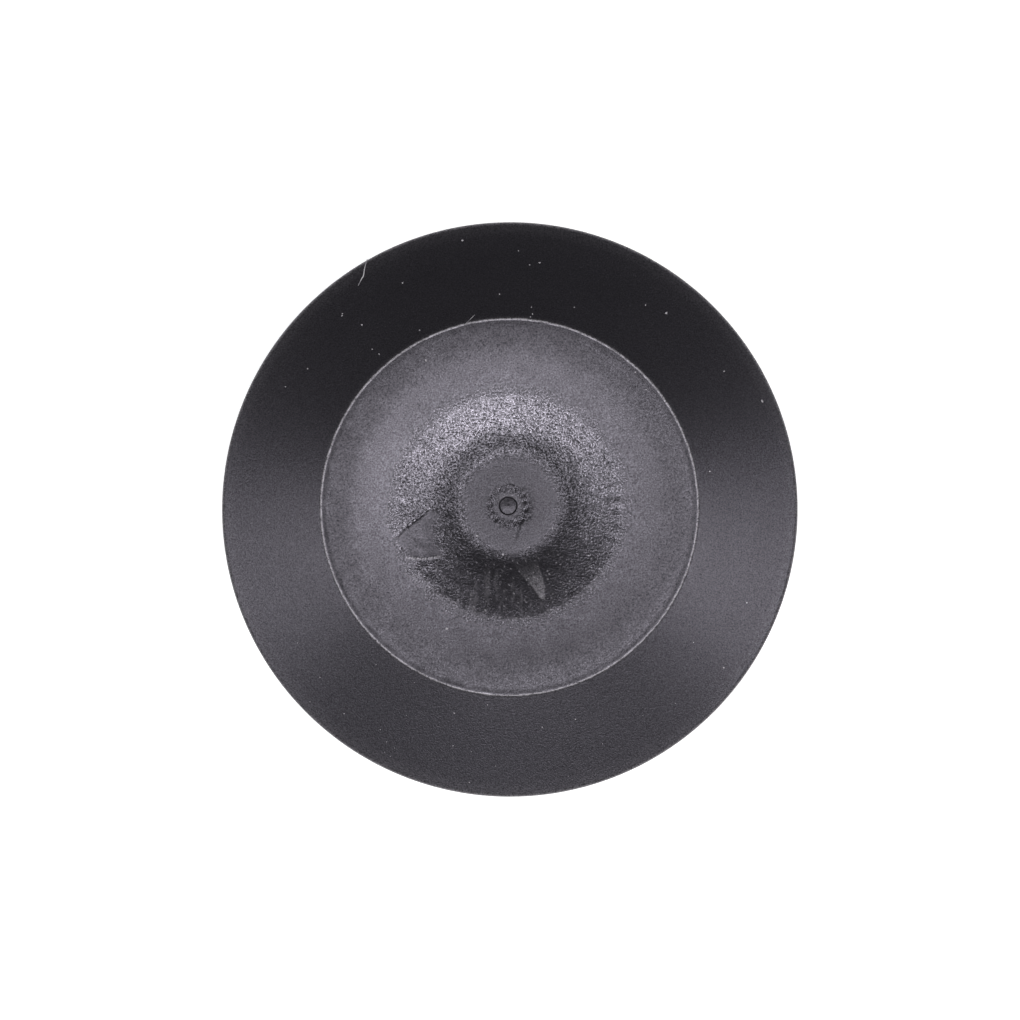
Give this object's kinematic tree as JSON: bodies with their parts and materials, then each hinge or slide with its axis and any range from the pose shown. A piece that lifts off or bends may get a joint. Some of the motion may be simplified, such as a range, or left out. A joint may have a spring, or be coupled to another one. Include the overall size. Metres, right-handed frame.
{
  "type": "plastic hole plug",
  "caption": "Round push-in plug that closes a hole in sheet metal: a sloping sealing flange with a dished centre, over a hollow barrel with a snap bead.",
  "frame": {"origin": "on the plug's axis, in the plane of the barrel's open end, on which it stands", "axes": "+Z along the plug's axis, from the open end to the head; +X to the right and +Y up in the picture"},
  "size_m": [0.0286, 0.0286, 0.0098],
  "materials": {
    "moulding": "moulded black polyethylene, spark-eroded texture inside the rim, fine satin flange"
  },
  "bodies": {
    "root": {"hole_plug": "moulding"}
  },
  "joints": []
}
